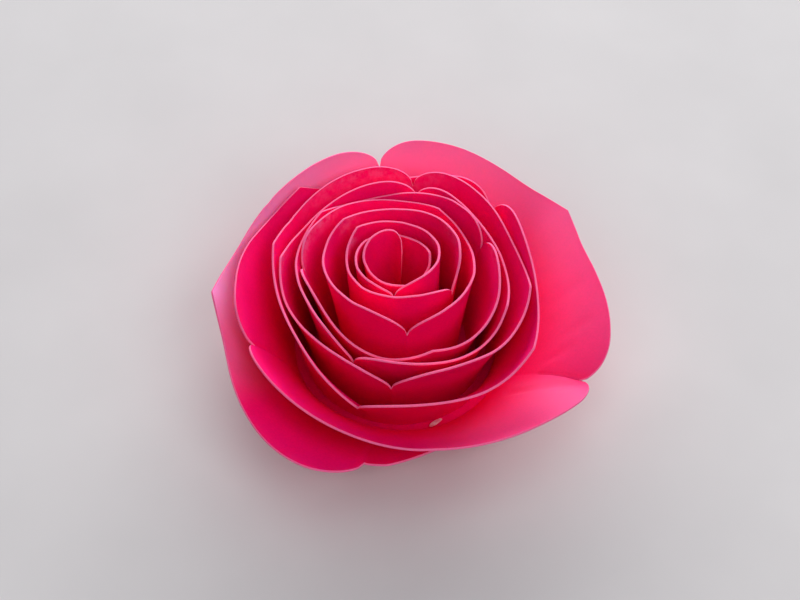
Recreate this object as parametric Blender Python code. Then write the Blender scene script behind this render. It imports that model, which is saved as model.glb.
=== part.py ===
"""A paper flower rolled from one sheet of pink cardstock.

The sheet is cut as a flat spiral with petals on its outer side. It is rolled from its outer
end, so that the straight side of the strip becomes the bottom of a coil, and the middle of the
spiral stays as a round disc under the coil. Lengths are in metres, azimuths and leans in degrees.
"""

from math import cos, pi, radians, sin, sqrt, tan

import bmesh
import bpy
from mathutils import Matrix, Vector

MM = 0.001

# The sheet and the coil
PAPER = 0.3 * MM
DISC_RADIUS = 20.2 * MM
COIL_START_RADIUS = 3.1 * MM
COIL_PITCH = 1.65 * MM
START_AZIMUTH = 58
END_AZIMUTH = 3590

# The strip's free inner end turns in towards the middle of the coil.
HOOK_TURN = 46
HOOK_RADIUS = 0.45

# The first turns sit a little behind the middle of the disc and come to it by this azimuth.
INNER_SHIFT = 3.4 * MM
SHIFT_END = 1500

# The rim from the inner end outward, one row for each petal: its pointed tip, the notch after the
# tip, and the shapes of its half before the tip and of its half after it. A tip or notch is its
# azimuth, its lean from upright and the height of the strip there as a share of the petal height.
# A half's shape is its bow, its skew and its hollow. The bow is how much more it leans midway, and
# the skew is how much more it leans at its first quarter and less at its third one. The hollow is
# how deep its slope dips under the tip, as a share of the petal height.
PETAL_HEIGHT = 20 * MM
PETALS = (
    ((370, 0.5, 0.975), (624, 0, 0.875), (4, 1, 0.065), (1.5, -1.5, 0.065)),
    ((856, 5, 1.03), (1056, 3.5, 0.825), (-2, 0, 0.065), (-4.5, 0, 0.065)),
    ((1215, 9, 1.05), (1357, 6, 0.875), (0, 0, 0.065), (-2.5, 1, 0.04)),
    ((1502, 11, 1), (1613, 14.5, 0.85), (-3, 0, 0.08), (2, 1, 0.05)),
    ((1729, 14, 1), (1827, 11.5, 0.825), (-3.5, -3, 0.065), (1.5, 1.5, 0.03)),
    ((1936, 14, 1), (2046, 13, 0.815), (-0.5, 0, 0.08), (-4.5, 1.5, 0.05)),
    ((2138, 14.5, 1), (2240, 13, 0.86), (2, -1, 0.08), (-5.5, 0.5, 0.065)),
    ((2331, 14, 0.975), (2427, 17, 0.79), (-1.5, 0, 0.065), (-4.5, 1, 0.05)),
    ((2512, 17, 1), (2603, 17, 0.85), (0, -1.5, 0.065), (-3.5, -1, 0.065)),
    ((2684, 14.5, 0.98), (2775, 25.5, 0.815), (3, 0, 0.065), (-10, 1.5, 0.05)),
    ((2846, 24.5, 1), (2925, 17, 0.74), (0, -1.5, 0.08), (-8, 0, 0.05)),
    ((3012, 20, 0.99), (3087, 26, 0.825), (-4.5, -0.5, 0.2), (0.5, 2.5, 0.1)),
    ((3157, 38, 1), (3214, 55, 0.82), (-1, 0.5, 0.065), (-1.5, 2, 0.05)),
    ((3272, 50, 1), (3337, 24, 0.83), (-6, 0, 0.065), (4, 0.5, 0.08)),
    ((3425, 30, 1), (3500, 46, 0.68), (-4.5, -1, 0.15), (2.5, -1.5, 0.1)),
)

# The free inner end of the strip, and its outer end where it runs into the disc
START_LEAN = -1
START_HEIGHT = 0.9
END_LEAN = 48
END_HEIGHT = 0.075
END_BOW = -5
TAIL_SHOULDER = 0.08
TAIL_RISE = 0.03
TAIL_POWER = 3

# The scallop of a half petal: its round shoulder ends at this share of the way from the notch to
# the tip, and stands above the tip. The slope between them is hollow, and lowest at this share.
SHOULDER = 0.2
SHOULDER_RISE = 0.04
HOLLOW_END = 0.8

# A petal bends outward over its height, by this share of its lean.
BEND_SHARE = 0.35
BEND_ROWS = 3

STEPS_TO_TIP = 16
END_STEPS = 16
DISC_SIDES = 96

# The drop of glue squeezed out between two turns of the coil: where the inner of the two turns is,
# how far both lean there, and the drop's share of the gap between them, its length and its height
GLUE_AZIMUTH = 2810
GLUE_LEAN = 24
GLUE_SHARE = 0.6
GLUE_LENGTH = 2.4 * MM
GLUE_HEIGHT = 1.3 * MM
GLUE_LIFT = 0.3 * MM

PINK = (0.80, 0.035, 0.12)
GLUE_COLOUR = (0.85, 0.62, 0.66)


def half_petals():
    """Pairs of neighbouring turning points of the rim, each with the shape between them."""
    before = (START_AZIMUTH, START_LEAN, START_HEIGHT)
    halves = []
    for tip, notch, rising_shape, falling_shape in PETALS:
        halves.append((before, tip, rising_shape))
        halves.append((tip, notch, falling_shape))
        before = notch
    halves.append((before, (END_AZIMUTH, END_LEAN, END_HEIGHT), (END_BOW, 0, 0)))
    return halves


def ease(share):
    """A smooth step from 0 to 1."""
    share = min(max(share, 0), 1)
    return share * share * (3 - 2 * share)


def scallop(notch, tip, hollow, share):
    """The height of a half petal between its notch, at share 0, and its tip, at share 1."""
    shoulder = tip + SHOULDER_RISE
    if share < SHOULDER:
        across = 1 - share / SHOULDER
        return notch + (shoulder - notch) * sqrt(1 - across * across)
    along = (share - SHOULDER) / (1 - SHOULDER)
    slope = shoulder - (SHOULDER_RISE + hollow) * ease(along / HOLLOW_END)
    point = max(0, (along - 0.6) / 0.4)
    return slope + hollow * point * point


def tail(notch, end, share):
    """The height of the strip's last piece, which has a shoulder and then runs down to the disc."""
    if share < TAIL_SHOULDER:
        across = 1 - share / TAIL_SHOULDER
        return notch + TAIL_RISE * sqrt(1 - across * across)
    along = (share - TAIL_SHOULDER) / (1 - TAIL_SHOULDER)
    return end + (notch + TAIL_RISE - end) * (1 - along) ** TAIL_POWER


def coil_radius(azimuth):
    """The radius of the coil's bottom edge."""
    radius = COIL_START_RADIUS + COIL_PITCH * azimuth / 360
    hook = HOOK_RADIUS + (1 - HOOK_RADIUS) * ease((azimuth - START_AZIMUTH) / HOOK_TURN)
    return radius * hook


def coil_shift(azimuth):
    """How far behind the disc's middle a turn of the coil sits."""
    return INNER_SHIFT * max(0, 1 - azimuth / SHIFT_END)


def strip_stations():
    """Azimuth, lean and height for each cross-section of the strip."""
    halves = half_petals()
    stations = []
    for before, after, (bow, skew, hollow) in halves:
        at_end = after is halves[-1][1]
        steps = END_STEPS if at_end else STEPS_TO_TIP
        for step in range(steps):
            # Closer together at both ends of a half petal, where the rim turns
            share = 0.5 * step / steps + 0.25 - 0.25 * cos(pi * step / steps)
            if at_end:
                height = tail(before[2], after[2], share)
            elif before[2] < after[2]:
                height = scallop(before[2], after[2], hollow, share)
            else:
                height = scallop(after[2], before[2], hollow, 1 - share)
            azimuth = before[0] + (after[0] - before[0]) * share
            lean = before[1] + (after[1] - before[1]) * ease(share)
            lean += bow * sin(pi * share) + skew * sin(2 * pi * share)
            stations.append((azimuth, lean, height * PETAL_HEIGHT))
    stations.append((END_AZIMUTH, END_LEAN, END_HEIGHT * PETAL_HEIGHT))
    return stations


def cross_section(azimuth, lean, height):
    """The strip's cross-section: its inner face from the bottom up, then its outer face down."""
    turn = radians(azimuth)
    radial = Vector((cos(turn), sin(turn), 0))
    up = Vector((0, 0, 1))
    point = radial * coil_radius(azimuth) + Vector((0, coil_shift(azimuth), PAPER / 2))
    inner, outer = [], []
    for row in range(BEND_ROWS + 1):
        share = row / BEND_ROWS
        angle = radians(lean) * (1 + BEND_SHARE * (2 * share - 1))
        if row > 0:
            middle_angle = angle - radians(lean) * BEND_SHARE / BEND_ROWS
            step = height / BEND_ROWS
            point = point + (radial * sin(middle_angle) + up * cos(middle_angle)) * step
        outward = radial * cos(angle) - up * sin(angle)
        inner.append(point - outward * PAPER / 2)
        outer.append(point + outward * PAPER / 2)
    return inner + outer[::-1]


def new_object(name, mesh_data, material):
    """An object from a bmesh."""
    bmesh.ops.recalc_face_normals(mesh_data, faces=mesh_data.faces)
    mesh = bpy.data.meshes.new(name)
    mesh_data.to_mesh(mesh)
    mesh_data.free()
    mesh.materials.append(material)
    item = bpy.data.objects.new(name, mesh)
    bpy.context.scene.collection.objects.link(item)
    return item


def plain_material(name, colour, roughness):
    """A Principled material of one colour."""
    material = bpy.data.materials.new(name)
    material.use_nodes = True
    shader = material.node_tree.nodes["Principled BSDF"]
    shader.inputs["Base Color"].default_value = (*colour, 1)
    shader.inputs["Roughness"].default_value = roughness
    shader.inputs["Metallic"].default_value = 0
    return material


def make_strip(material):
    """The rolled strip with its scalloped rim, a closed solid of the paper's thickness."""
    strip = bmesh.new()
    rings = []
    for station in strip_stations():
        rings.append([strip.verts.new(point) for point in cross_section(*station)])
    around = len(rings[0])
    for ring, next_ring in zip(rings, rings[1:]):
        for i in range(around):
            j = (i + 1) % around
            strip.faces.new((ring[i], ring[j], next_ring[j], next_ring[i]))
    # Each end is closed by quads across the paper, one for each row of its height.
    for ring in (rings[0], rings[-1]):
        for row in range(BEND_ROWS):
            strip.faces.new((ring[row], ring[row + 1], ring[-row - 2], ring[-row - 1]))
    bmesh.ops.triangulate(strip, faces=strip.faces)
    return new_object("paper_rose", strip, material)


def make_disc(material):
    """The round middle of the spiral, flat under the coil."""
    disc = bmesh.new()
    bmesh.ops.create_cone(disc, cap_ends=True, segments=DISC_SIDES, radius1=DISC_RADIUS,
                          radius2=DISC_RADIUS, depth=PAPER,
                          matrix=Matrix.Translation((0, 0, PAPER / 2)))
    return new_object("disc", disc, material)


def join_sheet(strip, disc):
    """Makes the strip and the disc one sheet."""
    union = strip.modifiers.new("join the disc", "BOOLEAN")
    union.operation = "UNION"
    union.solver = "EXACT"
    union.object = disc
    bpy.context.view_layer.update()
    depsgraph = bpy.context.evaluated_depsgraph_get()
    joined = bpy.data.meshes.new_from_object(strip.evaluated_get(depsgraph))
    strip.modifiers.clear()
    strip.data = joined
    bpy.data.objects.remove(disc)


def make_glue(material):
    """A drop of glue midway between two turns of the coil, just above the disc."""
    drop = bmesh.new()
    bmesh.ops.create_uvsphere(drop, u_segments=16, v_segments=10, radius=0.5)
    width = GLUE_SHARE * (COIL_PITCH - PAPER)
    bmesh.ops.scale(drop, vec=(width, GLUE_LENGTH, GLUE_HEIGHT), verts=drop.verts)
    glue = new_object("glue", drop, material)
    turn = radians(GLUE_AZIMUTH)
    level = PAPER + GLUE_LIFT + GLUE_HEIGHT / 2
    reach = coil_radius(GLUE_AZIMUTH + 180) + level * tan(radians(GLUE_LEAN))
    glue.location = (reach * cos(turn), reach * sin(turn) + coil_shift(GLUE_AZIMUTH), level)
    glue.rotation_euler = (0, 0, turn)
    return glue


def build():
    for item in list(bpy.data.objects):
        bpy.data.objects.remove(item)
    paper = plain_material("pink cardstock", PINK, 0.8)
    clear_glue = plain_material("dried glue", GLUE_COLOUR, 0.25)
    join_sheet(make_strip(paper), make_disc(paper))
    make_glue(clear_glue)


build()
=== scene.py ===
"""The look of the paper flower: its sheet in fine detail, the drop of glue, the floor, the light
and the camera. Lengths are in metres, azimuths and leans in degrees.
"""

from math import cos, pi, radians, sin, sqrt, tan

import bmesh
import bpy
from mathutils import Matrix, Vector, noise


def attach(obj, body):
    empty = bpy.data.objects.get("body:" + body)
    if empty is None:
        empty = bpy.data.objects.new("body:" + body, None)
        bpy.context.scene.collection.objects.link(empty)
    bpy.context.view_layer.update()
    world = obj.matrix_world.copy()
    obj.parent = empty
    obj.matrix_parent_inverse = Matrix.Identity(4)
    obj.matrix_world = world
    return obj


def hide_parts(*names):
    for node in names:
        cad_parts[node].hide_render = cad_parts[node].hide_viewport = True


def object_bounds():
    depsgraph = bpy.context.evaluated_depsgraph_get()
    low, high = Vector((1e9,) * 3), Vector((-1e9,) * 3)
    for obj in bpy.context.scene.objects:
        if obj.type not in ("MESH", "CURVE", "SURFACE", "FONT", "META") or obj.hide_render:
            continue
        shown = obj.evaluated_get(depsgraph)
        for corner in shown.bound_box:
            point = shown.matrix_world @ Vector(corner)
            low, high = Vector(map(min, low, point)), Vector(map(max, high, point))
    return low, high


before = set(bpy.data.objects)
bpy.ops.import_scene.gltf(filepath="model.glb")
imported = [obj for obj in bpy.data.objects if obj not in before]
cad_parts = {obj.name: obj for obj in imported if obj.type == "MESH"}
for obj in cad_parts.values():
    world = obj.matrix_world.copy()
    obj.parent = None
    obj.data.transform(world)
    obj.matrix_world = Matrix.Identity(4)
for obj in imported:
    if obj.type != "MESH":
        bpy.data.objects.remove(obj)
cad_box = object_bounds()

MM = 0.001

# The sheet and the coil, as in the part's source
PAPER = 0.3 * MM
DISC_RADIUS = 20.2 * MM
COIL_START_RADIUS = 3.1 * MM
COIL_PITCH = 1.65 * MM
START_AZIMUTH = 58
END_AZIMUTH = 3590
HOOK_TURN = 46
HOOK_RADIUS = 0.45
INNER_SHIFT = 3.4 * MM
SHIFT_END = 1500

# The rim from the inner end outward, one row for each petal: its pointed tip, the notch after the
# tip, and the shapes of its half before the tip and of its half after it. A tip or notch is its
# azimuth, its lean from upright and the height of the strip there as a share of the petal height.
# A half's shape is its bow, its skew and its hollow. The bow is how much more it leans midway, and
# the skew is how much more it leans at its first quarter and less at its third one. The hollow is
# how deep its slope dips under the tip, as a share of the petal height.
PETAL_HEIGHT = 20 * MM
PETALS = (
    ((370, 0.5, 0.975), (624, 0, 0.875), (4, 1, 0.065), (1.5, -1.5, 0.065)),
    ((856, 5, 1.03), (1056, 3.5, 0.825), (-2, 0, 0.065), (-4.5, 0, 0.065)),
    ((1215, 9, 1.05), (1357, 6, 0.875), (0, 0, 0.065), (-2.5, 1, 0.04)),
    ((1502, 11, 1), (1613, 14.5, 0.85), (-3, 0, 0.08), (2, 1, 0.05)),
    ((1729, 14, 1), (1827, 11.5, 0.825), (-3.5, -3, 0.065), (1.5, 1.5, 0.03)),
    ((1936, 14, 1), (2046, 13, 0.815), (-0.5, 0, 0.08), (-4.5, 1.5, 0.05)),
    ((2138, 14.5, 1), (2240, 13, 0.86), (2, -1, 0.08), (-5.5, 0.5, 0.065)),
    ((2331, 14, 0.975), (2427, 17, 0.79), (-1.5, 0, 0.065), (-4.5, 1, 0.05)),
    ((2512, 17, 1), (2603, 17, 0.85), (0, -1.5, 0.065), (-3.5, -1, 0.065)),
    ((2684, 14.5, 0.98), (2775, 25.5, 0.815), (3, 0, 0.065), (-10, 1.5, 0.05)),
    ((2846, 24.5, 1), (2925, 17, 0.74), (0, -1.5, 0.08), (-8, 0, 0.05)),
    ((3012, 20, 0.99), (3087, 26, 0.825), (-4.5, -0.5, 0.2), (0.5, 2.5, 0.1)),
    ((3157, 38, 1), (3214, 55, 0.82), (-1, 0.5, 0.065), (-1.5, 2, 0.05)),
    ((3272, 50, 1), (3337, 24, 0.83), (-6, 0, 0.065), (4, 0.5, 0.08)),
    ((3425, 30, 1), (3500, 46, 0.68), (-4.5, -1, 0.15), (2.5, -1.5, 0.1)),
)

# The free inner end of the strip, and its outer end where it runs into the disc
START_LEAN = -1
START_HEIGHT = 0.9
END_LEAN = 48
END_HEIGHT = 0.075
END_BOW = -5
TAIL_SHOULDER = 0.08
TAIL_RISE = 0.03
TAIL_POWER = 3
SHOULDER = 0.2
SHOULDER_RISE = 0.04
HOLLOW_END = 0.8
POINT_START = 0.6
BEND_SHARE = 0.35

# Places where the rim is cut down, from one azimuth to another and by how much: shallow trims where
# a petal hides behind the next turn, and small nicks of the scissors
RIM_CUTS = (
    (2926, 2992, 1.25 * MM),
    (2168, 2232, 0.5 * MM),
    (1840, 1858, 0.15 * MM),
    (230, 243, 0.22 * MM),
    (333, 341, 0.12 * MM),
    (2016, 2022, 0.12 * MM),
    (2664, 2670, 0.1 * MM),
    (3380, 3386, 0.12 * MM),
)
# The unevenness from cutting by hand: how deep the rim waves, over how many degrees its long and its
# short waves run, and how much and over how many degrees the lean wavers
RIM_UNEVEN = 0.07 * MM
LONG_WAVE = 9
SHORT_WAVE = 3.5
LEAN_UNEVEN = 0.35
LEAN_WAVE = 17

# The cutting leaves the rim a touch thicker than the card, as a share of the card.
RIM_FLARE = 1.2

# The free inner end is cut at a slant: its foot starts this much further round, and evens out.
SLANT = 42
SLANT_END = 170

# Soft folds on the open petals: azimuth and share of the height at both ends, height and half width.
# A fold acts only this many degrees from its start, and the open petals are this much wider than
# the coil's foot.
FOLD_RANGE = 60
OPEN_WIDTH = 1.4
FOLDS = (
    ((3213, 0.97), (3202, 0.35), 0.34 * MM, 1.4 * MM),
    ((3224, 0.70), (3219, 0.5), 0.14 * MM, 0.7 * MM),
    ((3232, 0.86), (3229, 0.64), 0.1 * MM, 0.9 * MM),
    ((3219, 0.62), (3214, 0.52), -0.12 * MM, 0.7 * MM),
    ((3246, 0.84), (3243, 0.55), 0.08 * MM, 1 * MM),
    ((3292, 0.9), (3300, 0.35), 0.09 * MM, 1.5 * MM),
    ((3395, 0.9), (3402, 0.4), 0.08 * MM, 1.5 * MM),
)

# Painted highlight: all rims are painted a little paler on their inner side, by this much and this
# far down.
RIM_PAINTED_HIGHLIGHT = 0.06
RIM_HIGHLIGHT_DEPTH = 1.5 * MM

# Painted highlight: places on the inner faces that are painted paler where light catches them:
# azimuth, half width, depth below the rim, strength
PAINTED_HIGHLIGHTS = (
    (754, 9, 1.3 * MM, 0.5),
    (870, 14, 2.4 * MM, 0.9),
    (1112, 16, 2.6 * MM, 0.6),
    (1213, 12, 3.6 * MM, 0.5),
    (1590, 28, 2 * MM, 0.8),
    (1808, 14, 1.2 * MM, 0.6),
    (2622, 42, 3.4 * MM, 0.45),
    (2331, 9, 1.2 * MM, 0.5),
)

# How finely the visible sheet is made, the tiny chamfer along its cut edge, and how far inside the
# part's box its points stay
ROWS = 24
STEPS_TO_TIP = 44
DISC_SIDES = 192
CHAMFER = 0.05 * MM
BOX_MARGIN = 0.002 * MM

# The drop of glue: its place and room as in the part's source
GLUE_AZIMUTH = 2810
GLUE_LEAN = 24
GLUE_SHARE = 0.6
GLUE_LENGTH = 2.4 * MM
GLUE_HEIGHT = 1.3 * MM
GLUE_LIFT = 0.3 * MM

# The glue is a thin, lumpy streak that slants up to the right inside that room. Its radius is a share
# of the room, a little under a half for the lumps.
GLUE_STREAK = 0.45 * MM
GLUE_SLANT = 28
GLUE_RADIUS = 0.48
GLUE_LUMPS = 0.12


def half_petals():
    """Pairs of neighbouring turning points of the rim, each with the shape between them."""
    before = (START_AZIMUTH, START_LEAN, START_HEIGHT)
    halves = []
    for tip, notch, rising_shape, falling_shape in PETALS:
        halves.append((before, tip, rising_shape))
        halves.append((tip, notch, falling_shape))
        before = notch
    halves.append((before, (END_AZIMUTH, END_LEAN, END_HEIGHT), (END_BOW, 0, 0)))
    return halves


def ease(share):
    """A smooth step from 0 to 1."""
    share = min(max(share, 0), 1)
    return share * share * (3 - 2 * share)


def scallop(notch, tip, hollow, share):
    """The height of a half petal between its notch, at share 0, and its tip, at share 1."""
    shoulder = tip + SHOULDER_RISE
    if share < SHOULDER:
        across = 1 - share / SHOULDER
        return notch + (shoulder - notch) * sqrt(1 - across * across)
    along = (share - SHOULDER) / (1 - SHOULDER)
    slope = shoulder - (SHOULDER_RISE + hollow) * ease(along / HOLLOW_END)
    point = max(0, (along - POINT_START) / (1 - POINT_START))
    return slope + hollow * point * point


def tail(notch, end, share):
    """The height of the strip's last piece, which has a shoulder and then runs down to the disc."""
    if share < TAIL_SHOULDER:
        across = 1 - share / TAIL_SHOULDER
        return notch + TAIL_RISE * sqrt(1 - across * across)
    along = (share - TAIL_SHOULDER) / (1 - TAIL_SHOULDER)
    return end + (notch + TAIL_RISE - end) * (1 - along) ** TAIL_POWER


def coil_radius(azimuth):
    """The radius of the coil's bottom edge."""
    radius = COIL_START_RADIUS + COIL_PITCH * azimuth / 360
    hook = HOOK_RADIUS + (1 - HOOK_RADIUS) * ease((azimuth - START_AZIMUTH) / HOOK_TURN)
    return radius * hook


def coil_shift(azimuth):
    """How far behind the disc's middle a turn of the coil sits."""
    return INNER_SHIFT * max(0, 1 - azimuth / SHIFT_END)


def rim_cut(azimuth):
    """How much lower the rim is at an azimuth than the part's."""
    rough = noise.noise(Vector((azimuth / LONG_WAVE, 0, 0)))
    rough += 0.5 * noise.noise(Vector((azimuth / SHORT_WAVE, 9, 0)))
    cut = RIM_UNEVEN * (0.5 + 0.5 * rough)
    for start, end, depth in RIM_CUTS:
        if start < azimuth < end:
            cut += depth * sin(pi * (azimuth - start) / (end - start)) ** 2
    return cut


def strip_stations():
    """Azimuth, lean and height for each cross-section of the strip."""
    halves = half_petals()
    stations = []
    for before, after, (bow, skew, hollow) in halves:
        at_end = after is halves[-1][1]
        for step in range(STEPS_TO_TIP):
            share = 0.5 * step / STEPS_TO_TIP + 0.25 - 0.25 * cos(pi * step / STEPS_TO_TIP)
            if at_end:
                height = tail(before[2], after[2], share)
            elif before[2] < after[2]:
                height = scallop(before[2], after[2], hollow, share)
            else:
                height = scallop(after[2], before[2], hollow, 1 - share)
            azimuth = before[0] + (after[0] - before[0]) * share
            lean = before[1] + (after[1] - before[1]) * ease(share)
            lean += bow * sin(pi * share) + skew * sin(2 * pi * share)
            lean += LEAN_UNEVEN * noise.noise(Vector((azimuth / LEAN_WAVE, 0.5, 0)))
            height = height * PETAL_HEIGHT - rim_cut(azimuth)
            stations.append((azimuth, lean, height))
    stations.append((END_AZIMUTH, END_LEAN, END_HEIGHT * PETAL_HEIGHT))
    return stations


def between(pairs, azimuth):
    """The value at an azimuth, eased between neighbouring (azimuth, value) pairs."""
    if azimuth <= pairs[0][0]:
        return pairs[0][1]
    for (start, low), (end, high) in zip(pairs, pairs[1:]):
        if azimuth <= end:
            return low + (high - low) * ease((azimuth - start) / (end - start))
    return pairs[-1][1]


def fold_height(azimuth, share, height):
    """How far the soft folds push the paper outward at an azimuth and a share of the height."""
    push = 0
    for (start, low), (end, high), size, half_width in FOLDS:
        if abs(azimuth - start) > FOLD_RANGE:
            continue
        across = radians(1) * coil_radius(azimuth) * OPEN_WIDTH
        line = Vector(((end - start) * across, (high - low) * height))
        offset = Vector(((azimuth - start) * across, (share - low) * height))
        along = min(max(offset.dot(line) / line.length_squared, 0), 1)
        away = (offset - line * along).length / half_width
        push += size * max(0, 1 - away * away) ** 2
    return push


def cross_section(azimuth, lean, height):
    """The strip's cross-section as (point, distance below the rim) pairs.

    It goes up the inner face, over the chamfered cut edge and down the outer face.
    """
    up = Vector((0, 0, 1))
    reach, level = 0, PAPER / 2
    inner, outer = [], []
    for row in range(ROWS + 1):
        share = row / ROWS
        angle = radians(lean) * (1 + BEND_SHARE * (2 * share - 1))
        if row > 0:
            middle_angle = angle - radians(lean) * BEND_SHARE / ROWS
            step = height / ROWS
            reach += sin(middle_angle) * step
            level += cos(middle_angle) * step
        slant = max(0, 1 - (azimuth - START_AZIMUTH) / (SLANT_END - START_AZIMUTH))
        place = azimuth + SLANT * (1 - share) * slant * slant
        turn = radians(place)
        radial = Vector((cos(turn), sin(turn), 0))
        point = radial * (coil_radius(place) + reach) + Vector((0, coil_shift(place), level))
        outward = radial * cos(angle) - up * sin(angle)
        point += outward * fold_height(azimuth, share, height)
        half = PAPER / 2 * (RIM_FLARE if row == ROWS else 1)
        inner.append((point - outward * half, height * (1 - share)))
        outer.append((point + outward * half, height * (1 - share)))
    along = radial * sin(angle) + up * cos(angle)
    inner_top, outer_top = inner[-1][0], outer[-1][0]
    inner[-1] = (inner_top - along * CHAMFER, 0)
    outer[-1] = (outer_top - along * CHAMFER, 0)
    inner.append((inner_top + outward * CHAMFER, 0))
    outer.append((outer_top - outward * CHAMFER, 0))
    return inner + outer[::-1]


def node_chain(material):
    """The node tree of a new material and short ways to add and join nodes."""
    tree = material.node_tree

    def add(kind, **sockets):
        node = tree.nodes.new("ShaderNode" + kind)
        for name, value in sockets.items():
            node.inputs[name.replace("_", " ")].default_value = value
        return node

    def join(source, output, target, socket):
        tree.links.new(source.outputs[output], target.inputs[socket])

    return tree.nodes["Principled BSDF"], add, join


def card_material(name, colour, painted_sheen_colour, painted_highlight_colour, edge):
    """Dyed cardstock with fibres and tooth, painted paler for a painted sheen on the open petals and
    for a painted highlight below the rims. The cut edge is paler and rougher.
    """
    material = bpy.data.materials.new(name)
    material.use_nodes = True
    shader, add, join = node_chain(material)
    shader.inputs["Specular IOR Level"].default_value = 0.08
    shader.inputs["Subsurface Weight"].default_value = 0.2 if edge else 0.45
    shader.inputs["Subsurface Radius"].default_value = (1, 0.04, 0.12)
    shader.inputs["Subsurface Scale"].default_value = 0.5 * MM
    coords = add("TexCoord")

    # Cloudy dye and fine fibres
    cloud = add("TexNoise", Scale=260, Detail=3, Roughness=0.6)
    fibre = add("TexNoise", Scale=2600, Detail=2, Roughness=0.7)
    join(coords, "Object", cloud, "Vector")
    join(coords, "Object", fibre, "Vector")
    both = add("Mix")
    both.data_type = "FLOAT"
    both.inputs[0].default_value = 0.6
    join(cloud, "Fac", both, 2)
    join(fibre, "Fac", both, 3)
    ramp = add("ValToRGB")
    ramp.color_ramp.elements[0].position = 0.3
    ramp.color_ramp.elements[0].color = (*[DYE_DARK * part for part in colour], 1)
    ramp.color_ramp.elements[1].position = 0.72
    ramp.color_ramp.elements[1].color = (*[DYE_LIGHT * part for part in colour], 1)
    join(both, 0, ramp, "Fac")

    # Painted sheen: the open petals are painted paler pink towards their rims, where light glances
    # off them
    painted_sheen = add("Attribute")
    painted_sheen.attribute_name = "painted_sheen"
    dye_and_sheen = add("Mix")
    dye_and_sheen.data_type = "RGBA"
    dye_and_sheen.inputs[7].default_value = (*painted_sheen_colour, 1)
    join(painted_sheen, "Fac", dye_and_sheen, 0)
    join(ramp, "Color", dye_and_sheen, 6)

    # Painted highlight: places painted paler below the rims, patchy
    painted_highlight = add("Attribute")
    painted_highlight.attribute_name = "painted_highlight"
    patch = add("TexNoise", Scale=700, Detail=4, Roughness=0.65)
    join(coords, "Object", patch, "Vector")
    highlight_patchiness = add("MapRange")
    highlight_patchiness.inputs["From Min"].default_value = 0.38
    highlight_patchiness.inputs["From Max"].default_value = 0.62
    join(patch, "Fac", highlight_patchiness, "Value")
    share = add("Math")
    share.operation = "MULTIPLY"
    join(painted_highlight, "Fac", share, 0)
    join(highlight_patchiness, 0, share, 1)
    paint = add("Mix")
    paint.data_type = "RGBA"
    paint.inputs[7].default_value = (*painted_highlight_colour, 1)
    join(share, 0, paint, 0)
    join(dye_and_sheen, 2, paint, 6)
    join(paint, 2, shader, "Base Color")

    # Roughness a little uneven, and the tooth
    rough = add("MapRange")
    rough.inputs["To Min"].default_value = 0.8 if edge else 0.5
    rough.inputs["To Max"].default_value = 0.95 if edge else 0.68
    join(cloud, "Fac", rough, "Value")
    join(rough, 0, shader, "Roughness")
    bump = add("Bump", Strength=0.5 if edge else 0.22, Distance=0.03 * MM)
    join(fibre, "Fac", bump, "Height")
    join(bump, 0, shader, "Normal")
    return material


def glue_material():
    """Dried clear glue, glossy and a little cloudy, with the pink paper showing through."""
    material = bpy.data.materials.new("dried glue")
    material.use_nodes = True
    shader, add, join = node_chain(material)
    shader.inputs["IOR"].default_value = 1.48
    shader.inputs["Transmission Weight"].default_value = 0.15
    shader.inputs["Coat Weight"].default_value = 0.4
    shader.inputs["Coat Roughness"].default_value = 0.08
    coords = add("TexCoord")
    cloud = add("TexNoise", Scale=1500, Detail=3)
    join(coords, "Object", cloud, "Vector")
    ramp = add("ValToRGB")
    ramp.color_ramp.elements[0].position = 0.35
    ramp.color_ramp.elements[0].color = (*GLUE_DARK, 1)
    ramp.color_ramp.elements[1].position = 0.65
    ramp.color_ramp.elements[1].color = (*GLUE_LIGHT, 1)
    join(cloud, "Fac", ramp, "Fac")
    join(ramp, "Color", shader, "Base Color")
    rough = add("MapRange")
    rough.inputs["To Min"].default_value = 0.12
    rough.inputs["To Max"].default_value = 0.3
    join(cloud, "Fac", rough, "Value")
    join(rough, 0, shader, "Roughness")
    bump = add("Bump", Strength=0.3, Distance=0.05 * MM)
    join(cloud, "Fac", bump, "Height")
    join(bump, 0, shader, "Normal")
    return material


def new_piece(name, mesh_data, materials):
    """A smooth-shaded object from a bmesh."""
    bmesh.ops.recalc_face_normals(mesh_data, faces=mesh_data.faces)
    mesh = bpy.data.meshes.new(name)
    mesh_data.to_mesh(mesh)
    mesh_data.free()
    for material in materials:
        mesh.materials.append(material)
    piece = bpy.data.objects.new(name, mesh)
    bpy.context.scene.collection.objects.link(piece)
    return piece


def inside_box(point):
    """The point, moved inward by the little that it may stand out of the part's box."""
    low, high = cad_box
    return [min(max(point[i], low[i] + BOX_MARGIN), high[i] - BOX_MARGIN) for i in range(3)]


def painted_highlight_share(azimuth, distance):
    """How much painted highlight makes the inner face paler at an azimuth and a distance below the
    rim.
    """
    paleness = RIM_PAINTED_HIGHLIGHT * max(0, 1 - distance / RIM_HIGHLIGHT_DEPTH)
    for middle, half_width, depth, strength in PAINTED_HIGHLIGHTS:
        away = (azimuth - middle) / half_width
        paleness = max(paleness, strength * max(0, 1 - away * away) * max(0, 1 - (distance / depth) ** 2))
    return paleness


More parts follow.
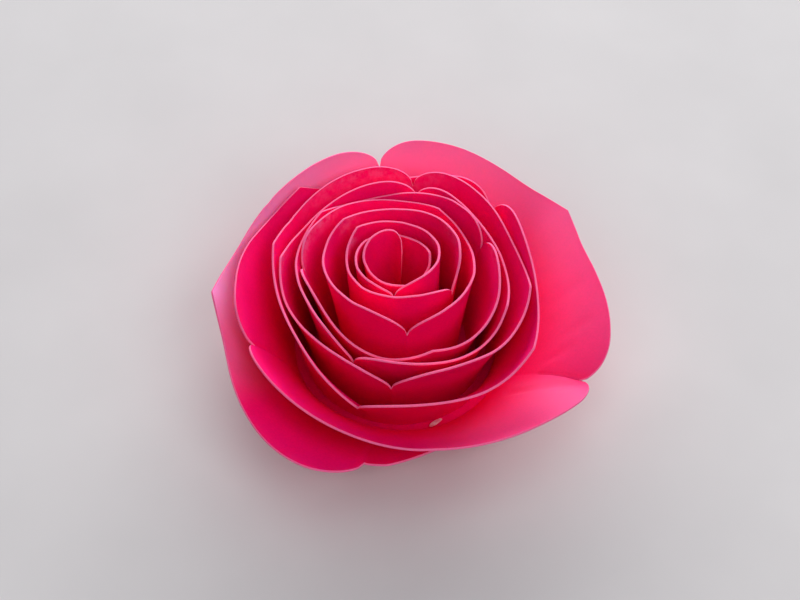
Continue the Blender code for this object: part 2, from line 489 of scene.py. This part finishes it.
def make_sheet(face_material, edge_material):
    """The rolled strip with its petals, and the disc that it stands on."""
    sheet = bmesh.new()
    painted_sheen = sheet.verts.layers.float.new("painted_sheen")
    painted_highlight = sheet.verts.layers.float.new("painted_highlight")
    rings = []
    for azimuth, lean, height in strip_stations():
        ring = []
        # Painted sheen: how much paler the open petals are painted at this azimuth
        sheen_share = between(PAINTED_SHEEN_SHARES, azimuth)
        for i, (point, distance) in enumerate(cross_section(azimuth, lean, height)):
            vertex = sheet.verts.new(inside_box(point))
            if i <= ROWS:
                vertex[painted_sheen] = sheen_share * ease((1 - distance / height) / PAINTED_SHEEN_FROM)
                # Painted highlight: how much paler this point is painted below the rim
                vertex[painted_highlight] = painted_highlight_share(azimuth, distance)
            ring.append(vertex)
        rings.append(ring)
    around = len(rings[0])
    # Faces of the ring that belong to the cut: the three over the rim and the one at the foot
    cut = {ROWS, ROWS + 1, ROWS + 2, around - 1}
    for ring, next_ring in zip(rings, rings[1:]):
        for i in range(around):
            j = (i + 1) % around
            face = sheet.faces.new((ring[i], ring[j], next_ring[j], next_ring[i]))
            face.smooth = True
            face.material_index = 1 if i in cut else 0
    for ring in (rings[0], rings[-1]):
        for row in range(ROWS + 1):
            face = sheet.faces.new((ring[row], ring[row + 1], ring[-row - 2], ring[-row - 1]))
            face.material_index = 1
    add_disc(sheet)
    mark_sharp(sheet)
    return new_piece("paper_flower", sheet, (face_material, edge_material))


def add_disc(sheet):
    """The disc with its chamfered cut edge, as rings from the middle of the top to the underside."""
    rings = []
    for radius, height in ((DISC_RADIUS - CHAMFER, PAPER), (DISC_RADIUS, PAPER - CHAMFER),
                           (DISC_RADIUS, CHAMFER), (DISC_RADIUS - CHAMFER, 0)):
        ring = []
        for i in range(DISC_SIDES):
            turn = 2 * pi * i / DISC_SIDES
            ring.append(sheet.verts.new((radius * cos(turn), radius * sin(turn), height)))
        rings.append(ring)
    for ring, next_ring in zip(rings, rings[1:]):
        for i in range(DISC_SIDES):
            j = (i + 1) % DISC_SIDES
            face = sheet.faces.new((ring[i], ring[j], next_ring[j], next_ring[i]))
            face.smooth = True
            face.material_index = 1
    sheet.faces.new(rings[0])
    sheet.faces.new(rings[-1])


def mark_sharp(sheet):
    """Keeps the border between the faces of the paper and its cut edge crisp."""
    for edge in sheet.edges:
        if len({face.material_index for face in edge.link_faces}) > 1:
            edge.smooth = False


def make_glue(material):
    """The streak of glue between the coil's outer wall and the front petal."""
    drop = bmesh.new()
    bmesh.ops.create_uvsphere(drop, u_segments=48, v_segments=32, radius=GLUE_RADIUS)
    for vertex in drop.verts:
        vertex.co *= 1 + GLUE_LUMPS * noise.noise(vertex.co * 3)
        vertex.co.x *= GLUE_SHARE * (COIL_PITCH - PAPER)
        vertex.co.y *= GLUE_LENGTH
        vertex.co.z *= GLUE_STREAK
    bmesh.ops.rotate(drop, matrix=Matrix.Rotation(radians(GLUE_SLANT), 3, "X"), verts=drop.verts)
    turn = radians(GLUE_AZIMUTH)
    level = PAPER + GLUE_LIFT + GLUE_HEIGHT / 2
    reach = coil_radius(GLUE_AZIMUTH + 180) + level * tan(radians(GLUE_LEAN))
    place = Matrix.Translation((reach * cos(turn), reach * sin(turn), level))
    bmesh.ops.transform(drop, matrix=place @ Matrix.Rotation(turn, 4, "Z"), verts=drop.verts)
    for face in drop.faces:
        face.smooth = True
    return new_piece("glue_drop", drop, (material,))


def make_floor():
    """A plain pale table top."""
    material = bpy.data.materials.new("pale table")
    material.use_nodes = True
    shader, add, join = node_chain(material)
    shader.inputs["Roughness"].default_value = 0.75
    shader.inputs["Specular IOR Level"].default_value = 0.2
    coords = add("TexCoord")
    cloud = add("TexNoise", Scale=40, Detail=3)
    join(coords, "Object", cloud, "Vector")
    ramp = add("ValToRGB")
    ramp.color_ramp.elements[0].position = 0.3
    ramp.color_ramp.elements[0].color = (*FLOOR_DARK, 1)
    ramp.color_ramp.elements[1].position = 0.7
    ramp.color_ramp.elements[1].color = (*FLOOR_LIGHT, 1)
    join(cloud, "Fac", ramp, "Fac")
    join(ramp, "Color", shader, "Base Color")
    plane = bmesh.new()
    bmesh.ops.create_grid(plane, x_segments=1, y_segments=1, size=FLOOR_HALF)
    floor = new_piece("table_top", plane, (material,))
    floor.location = (0, 0, -FLOOR_GAP)


def add_lamp(name, place, width, height, power):
    """A rectangular area lamp that shines on the flower."""
    lamp = bpy.data.lights.new(name, "AREA")
    lamp.shape = "RECTANGLE"
    lamp.size = width
    lamp.size_y = height
    lamp.energy = power
    item = bpy.data.objects.new(name, lamp)
    item.location = place
    item.rotation_euler = Vector(place).to_track_quat("Z", "Y").to_euler()
    bpy.context.scene.collection.objects.link(item)


def light_scene():
    """Soft light from a wide low window at the back, from the sides, the front and all round."""
    for lamp in LAMPS:
        add_lamp(*lamp)
    world = bpy.data.worlds.new("pale room")
    bpy.context.scene.world = world
    world.use_nodes = True
    background = world.node_tree.nodes["Background"]
    background.inputs["Color"].default_value = (*ROOM_COLOUR, 1)
    background.inputs["Strength"].default_value = ROOM_LEVEL


def add_camera():
    """The photograph's view: level of the lens, distance and framing."""
    data = bpy.data.cameras.new("photo camera")
    data.sensor_width = CAMERA_SENSOR
    data.lens = CAMERA_LENS
    data.shift_x = CAMERA_SHIFT_X
    data.shift_y = CAMERA_SHIFT_Y
    data.clip_start = CAMERA_NEAR
    camera = bpy.data.objects.new("photo camera", data)
    rise = radians(CAMERA_ELEVATION)
    camera.location = (0, -CAMERA_DISTANCE * cos(rise), CAMERA_DISTANCE * sin(rise))
    camera.rotation_euler = (pi / 2 - rise, 0, 0)
    bpy.context.scene.collection.objects.link(camera)
    bpy.context.scene.camera = camera


# The colours, and how much darker and lighter the dye is in its clouds and fibres
DYE_DARK = 0.9
DYE_LIGHT = 1.06
CARD_PINK = (0.94, 0.001, 0.15)
# Painted sheen: the paler pink mixed in where light glances off the open petals
CARD_PAINTED_SHEEN = (0.98, 0.32, 0.66)
# Painted highlight: the paler pink painted on the inner faces below the rims
CARD_PAINTED_HIGHLIGHT = (0.90, 0.13, 0.34)
EDGE_PINK = (1, 0.16, 0.36)
# Painted highlight: the paler pink painted on the cut edge at the rims
EDGE_PAINTED_HIGHLIGHT = (1, 0.24, 0.45)
FLOOR_DARK = (0.61, 0.60, 0.60)
FLOOR_LIGHT = (0.64, 0.63, 0.63)
FLOOR_HALF = 1.5
FLOOR_GAP = 0.02 * MM
GLUE_DARK = (0.95, 0.38, 0.55)
GLUE_LIGHT = (0.98, 0.80, 0.92)

# The lamps: name, place, width, height and power in watts
LAMPS = (
    ("window", (0.03, 0.84, 0.28), 1.6, 0.3, 16),
    ("right light", (0.50, 0.18, 0.59), 0.5, 0.5, 0.5),
    ("front right light", (0.39, -0.43, 0.69), 0.5, 0.5, 2.5),
    ("front left light", (-0.27, -0.58, 0.64), 0.5, 0.5, 1.3),
    ("top light", (0.05, 0.05, 0.9), 0.5, 0.5, 0.8),
)
ROOM_COLOUR = (1, 0.93, 1.15)
ROOM_LEVEL = 0.12

# Painted sheen: how much paler the card's upper face is painted at some azimuths along the strip,
# where light glances off the open petals, and how far up it is in full
PAINTED_SHEEN_SHARES = ((3150, 0), (3187, 0.16), (3206, 0.3), (3214, 0.1), (3240, 0.17), (3273, 0.29), (3312, 0.46),
         (3350, 0.64), (3378, 0.78), (3421, 1), (3444, 0.33), (3465, 0))
PAINTED_SHEEN_FROM = 0.8

# The photograph's view: degrees above the table, distance, lens and sensor in millimetres, shifts
CAMERA_ELEVATION = 55.5
CAMERA_DISTANCE = 220.75 * MM
CAMERA_LENS = 60
CAMERA_SENSOR = 36
CAMERA_SHIFT_X = 0.0026
CAMERA_SHIFT_Y = 0.0525
CAMERA_NEAR = 5 * MM

bpy.context.scene.view_settings.view_transform = "Standard"
bpy.context.scene.cycles.diffuse_bounces = 10
add_camera()
light_scene()
make_floor()

face_material = card_material("pink cardstock", CARD_PINK, CARD_PAINTED_SHEEN, CARD_PAINTED_HIGHLIGHT, False)
edge_material = card_material("cut edge of cardstock", EDGE_PINK, EDGE_PINK, EDGE_PAINTED_HIGHLIGHT, True)
flower = make_sheet(face_material, edge_material)
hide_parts("paper_rose")
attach(flower, "root")

glue = make_glue(glue_material())
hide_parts("glue")
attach(glue, "root")
